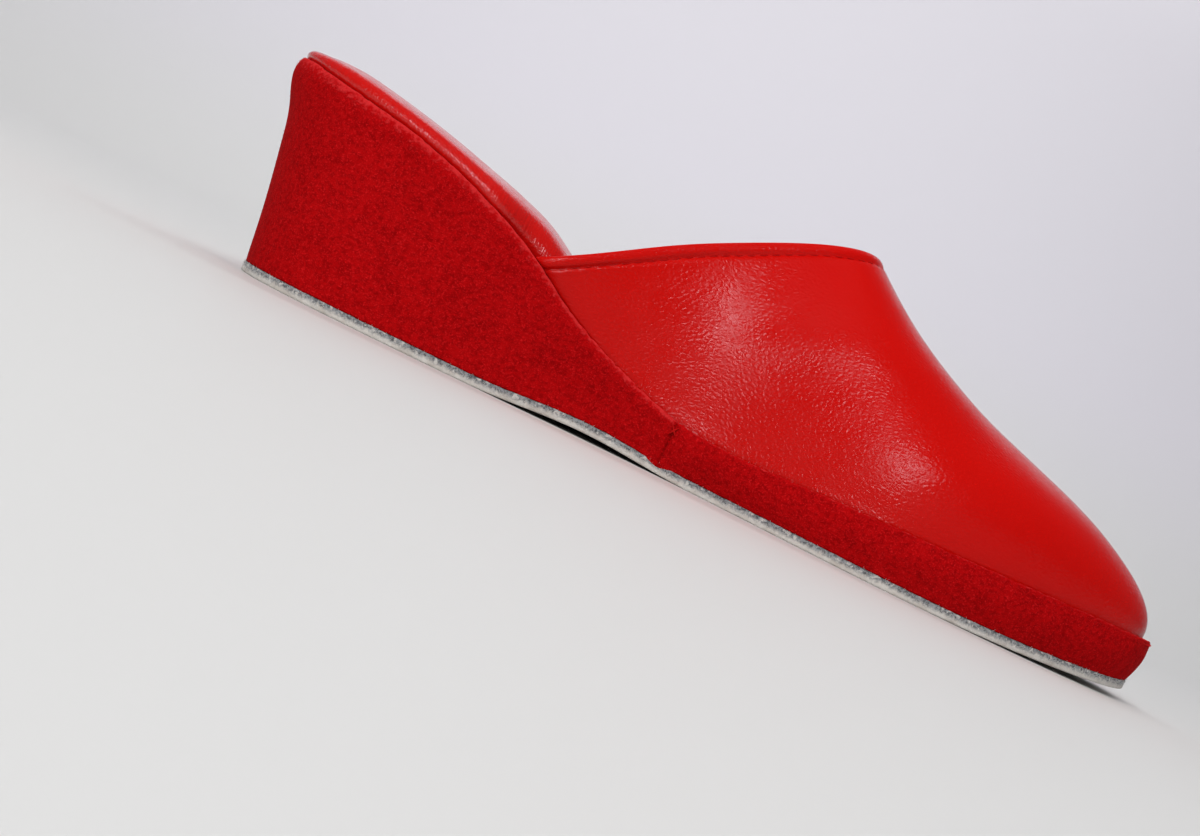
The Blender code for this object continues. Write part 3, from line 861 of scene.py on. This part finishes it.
def sockRim(turn, side, way):
    share = shareAt(turn)
    x0 = outlinePoint(turn, side)[0]
    phase = 2 * np.pi * x0 / sock["pinchPitch"] + 3 * np.sin(x0 * 700)
    gather = (0.5 + 0.5 * np.sin(phase)) * np.sin(np.pi * way) ** 2
    x, y = sidePoint(turn, side, 1.0, sockInset(share) + rollIn(way) * sock["roll"] + sock["pinch"] * gather)
    rise = rollUp(way) * sock["rollRise"] * sock["thickness"] * sockShare(share)
    return x, y, blockTop(x) + last["clearance"] * 0.3 + rise


# a sheet's columns: way in over the nearer rim, way over the middle, and place between the two rims
def columnShares(u, rimShare):
    way = np.clip(np.minimum(u, 1 - u) / rimShare, 0, 1)
    cross = np.clip((u - rimShare) / (1 - 2 * rimShare), 0, 1)
    return way, cross, np.where(way < 1, (u > 0.5) * 1.0, cross)


# the points of the medial and of the lateral rim
def bothRims(rim, turn, way):
    return [np.stack(rim(turn, np.full_like(turn, side), way), axis=1) for side in (medial, lateral)]


def sockTop(u, v):
    way, cross, share = columnShares(u, sock["rollShare"])
    near, far = bothRims(sockRim, v, way)
    width = np.minimum(np.hypot(*(near - far)[:, :2].T) / last["heelWidth"], 1)
    rest = (1 - sock["rollRise"]) * sock["thickness"] * sockShare(shareAt(v))
    crown = (sock["crown"] * width + rest * ease(width, 0.1, 0.7)) * (1 - (2 * cross - 1) ** 2) * (way >= 1)
    points = near + (far - near) * share[:, None]
    points[:, 2] += crown
    return points, np.stack([points[:, 0], way, way * 0], axis=1)


def sockBottom(u, v):
    near, far = bothRims(sockRim, v, v * 0)
    points = near + (far - near) * u[:, None]
    return points, points * 0


bm = newPieceMesh()
addSheet(bm, sockTop, sock["across"], sock["along"])
addSheet(bm, sockBottom, sock["across"], sock["along"])
sockLeather = finishPiece(bm, "sockLeather", [sockFinish])
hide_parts("padded_sock")
print("sock made")


sole = {
    "across": 60,
    "along": 420,
    "edgeShare": 0.25,        # share of the columns on each cut edge
    "waver": 0.10 * mm,
    "inset": -0.15 * mm,
}
# way down the cut edge, set in mm, share of the thickness
soleEdge = [
    (0.00, 0.25, 1.00), (0.12, 0.05, 0.97), (0.30, 0.0, 0.80), (0.50, 0.03, 0.50), (0.72, 0.0, 0.25),
    (0.88, 0.10, 0.06), (1.00, 0.40, 0.0),
]
edgeIn = smoothCurve(soleEdge, 1)
edgeUp = smoothCurve(soleEdge, 2)


def soleRim(turn, side, way):
    x0, y0 = outlinePoint(turn, side)
    ragged = waver(x0 + 1.7 * y0, 1.3, (0.0011, 0.0023, 0.0051)) * sole["waver"]
    x, y = sidePoint(turn, side, 0.0, sole["inset"] + edgeIn(way) * mm + ragged)
    top = 1 + 0.05 * waver(x0 - 1.4 * y0, 0.2, (0.0013, 0.0029, 0.0067))
    up = np.clip(edgeUp(way), 0, 1)
    return x, y, floorGap(x) + up * last["soleThickness"] * np.where(up > 0.9, top, 1.0)


# cut edge and underside
def soleSkin(u, v):
    way, _, share = columnShares(u, sole["edgeShare"])
    near, far = bothRims(soleRim, v, way)
    points = near + (far - near) * share[:, None]
    return points, np.stack([points[:, 0], np.clip(edgeUp(way), 0, 1), way], axis=1)


def soleTop(u, v):
    near, far = bothRims(soleRim, v, v * 0)
    points = near + (far - near) * u[:, None]
    return points, np.stack([points[:, 0], v * 0 + 1, v * 0], axis=1)


bm = newPieceMesh()
addSheet(bm, soleSkin, sole["across"], sole["along"])
addSheet(bm, soleTop, sole["across"], sole["along"])
soleLeather = finishPiece(bm, "soleLeather", [soleFinish])
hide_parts("outsole")
print("sole made")


fibres = {
    "soleCount": 1700,
    "suedeCount": 5000,
    "soleLength": 0.9 * mm,
    "suedeLength": 0.55 * mm,
    "soleRadius": 0.06 * mm,
    "suedeRadius": 0.035 * mm,
    "batchSize": 150,
}


# thin three-sided cones, each standing on a point and leaning its own way; small batches are quicker
def scatterFibres(name, finish, places, length, radius):
    whole = newPieceMesh()
    for start in range(0, len(places), fibres["batchSize"]):
        batch = newPieceMesh()
        for point, lean in places[start:start + fibres["batchSize"]]:
            size = length * random.uniform(0.4, 1.0)
            turned = lean.to_track_quat("Z", "Y").to_matrix().to_4x4()
            place = Matrix.Translation(point + lean.normalized() * size * 0.42) @ turned
            bmesh.ops.create_cone(batch, cap_ends=True, segments=3, radius1=radius, radius2=radius * 0.15,
                                  depth=size, matrix=place)
        part = bpy.data.meshes.new("batch")
        batch.to_mesh(part)
        batch.free()
        whole.from_mesh(part)
        bpy.data.meshes.remove(part)
    return finishPiece(whole, name, [finish])


def rimPlaces(count, place):
    found = []
    for _ in range(count):
        turn = np.array([random.random()])
        side = np.array([random.choice((medial, lateral))])
        x, y, z, lift = place(turn, side)
        outX, outY = outward(turn, side)
        out = Vector((outX[0], outY[0], lift + random.uniform(-0.3, 0.5)))
        jitter = Vector([random.uniform(-0.5, 0.5) for _ in range(3)])
        found.append((Vector((x[0], y[0], z[0])) + Vector(toRow), out + jitter))
    return found


def soleTuft(turn, side):
    x, y = sidePoint(turn, side, 0.0, sole["inset"] + 0.1 * mm)
    return x, y, floorGap(x) + last["soleThickness"] * random.uniform(0.35, 1.0), 0.9


def coverFuzz(turn, side):
    rise = np.array([random.choice((random.uniform(0.94, 0.99), random.random() ** 0.5))])
    x, y = sidePoint(turn, side, rise, 0.08 * mm)
    low = blockBottom(x)
    lip = covers["lip"] * (shareAt(turn) > last["seamPlace"]) * (rise > 0.94) * 0.5
    return x, y, low + (blockTop(x) - low) * rise + lip, 0.2


scatterFibres("soleTufts", paleFibreFinish, rimPlaces(fibres["soleCount"], soleTuft),
              fibres["soleLength"], fibres["soleRadius"])
scatterFibres("suedeFuzz", redFibreFinish, rimPlaces(fibres["suedeCount"], coverFuzz),
              fibres["suedeLength"], fibres["suedeRadius"])
print("fibres made")


stage = {
    "floorColour": (0.67, 0.665, 0.645, 1.0),
    "wallColour": (0.70, 0.675, 0.71, 1.0),
    "worldColour": (0.80, 0.82, 0.88, 1.0),
    "worldStrength": 0.20,
    "halfWidth": 2.2,
    "front": -2.2,
    "wallPlace": 1.3,
    "coveRadius": 0.6,
    "coveSteps": 24,
    "wallHeight": 2.0,
    "fadeHeight": 0.25,       # the floor's colour turns into the wall's up to here
}

# floor, cove and wall: their section drawn as edges, then swept across
bm = bmesh.new()
rear = stage["wallPlace"] - stage["coveRadius"]
verts = [bm.verts.new((-stage["halfWidth"], y, 0)) for y in (stage["front"], rear)]
bm.edges.new(verts)
bmesh.ops.spin(bm, geom=[verts[1]], cent=(0, rear, stage["coveRadius"]), axis=(1, 0, 0),
               angle=math.pi / 2, steps=stage["coveSteps"])
tip = max(bm.verts, key=lambda vert: vert.co.y + vert.co.z)
grown = bmesh.ops.extrude_vert_indiv(bm, verts=[tip])["verts"]
bmesh.ops.translate(bm, verts=grown, vec=(0, 0, stage["wallHeight"] - stage["coveRadius"]))
swept = bmesh.ops.extrude_edge_only(bm, edges=bm.edges[:])
bmesh.ops.translate(bm, verts=[item for item in swept["geom"] if isinstance(item, bmesh.types.BMVert)],
                    vec=(2 * stage["halfWidth"], 0, 0))
bmesh.ops.recalc_face_normals(bm, faces=bm.faces)
for face in bm.faces:
    face.smooth = True
mesh = bpy.data.meshes.new("floor")
bm.to_mesh(mesh)
bm.free()
floor = bpy.data.objects.new("floor", mesh)
bpy.context.scene.collection.objects.link(floor)
floorFinish, tree, shader = newFinish("paleFloor", 0.6, Specular_IOR_Level=0.3)
height = axisOf(tree, addNode(tree, "TexCoord").outputs["Object"], "Z")
rise = mapNode(tree, height, 0.0, stage["fadeHeight"])
tree.links.new(mixColours(tree, rise, stage["floorColour"], stage["wallColour"]), shader.inputs["Base Color"])
mesh.materials.append(floorFinish)

world = bpy.data.worlds.new("softRoom")
bpy.context.scene.world = world
world.use_nodes = True
background = world.node_tree.nodes["Background"]
background.inputs["Color"].default_value = stage["worldColour"]
background.inputs["Strength"].default_value = stage["worldStrength"]

# name, place, aim, width, length, power in watts, colour, turned about its own axis in degrees
lights = [
    ("ceiling", (-0.05, -0.24, 0.80), (0.0, 0.0, 0.04), 0.40, 0.40, 1.6, (1.0, 0.98, 0.96), 0),
    ("window", (-0.35, -0.95, 0.75), (0.0, 0.0, 0.03), 0.8, 0.8, 11.0, (0.97, 0.98, 1.0), 0),
    ("glint", (-0.165, -0.84, 0.180), (0.0, 0.0, 0.04), 0.06, 0.39, 3.4, (0.92, 0.94, 1.0), -32),
    ("backLight", (0.0, 0.55, 1.3), (0.0, 1.3, 0.45), 1.6, 0.5, 12.5, (0.97, 0.98, 1.0), 0),
]
for name, place, aim, width, length, power, colour, turned in lights:
    lamp = bpy.data.lights.new(name, "AREA")
    lamp.shape = "RECTANGLE"
    lamp.size = width
    lamp.size_y = length
    lamp.energy = power
    lamp.color = colour
    holder = bpy.data.objects.new(name, lamp)
    bpy.context.scene.collection.objects.link(holder)
    holder.location = place
    facing = (Vector(aim) - Vector(place)).to_track_quat("-Z", "Y")
    holder.rotation_euler = (facing @ Quaternion((0, 0, 1), math.radians(turned))).to_euler()
    holder.visible_glossy = name == "glint"
    holder.visible_diffuse = name != "glint"

# the photo's angle to the shoe, which leans in the photo: hence the roll
view = {
    "eye": (-0.0571, -0.4029, 0.0165),
    "target": (-0.0221, 0.0, 0.0058),
    "roll": math.radians(-26.23),
    "lens": 48.0,
}
eye = Vector(view["eye"])
forward = (Vector(view["target"]) - eye).normalized()
right = forward.cross(Vector((0, 0, 1))).normalized()
up = right.cross(forward)
turned = Matrix.Rotation(view["roll"], 3, forward)
right, up = turned @ right, turned @ up
placed = Matrix((right, up, -forward)).transposed().to_4x4()
placed.translation = eye
camera = bpy.data.cameras.new("camera")
camera.sensor_width = 36
camera.lens = view["lens"]
camera.clip_start = 0.01
cameraHolder = bpy.data.objects.new("camera", camera)
cameraHolder.matrix_world = placed
bpy.context.scene.collection.objects.link(cameraHolder)
bpy.context.scene.camera = cameraHolder
bpy.context.scene.view_settings.view_transform = "Standard"
print("stage made")
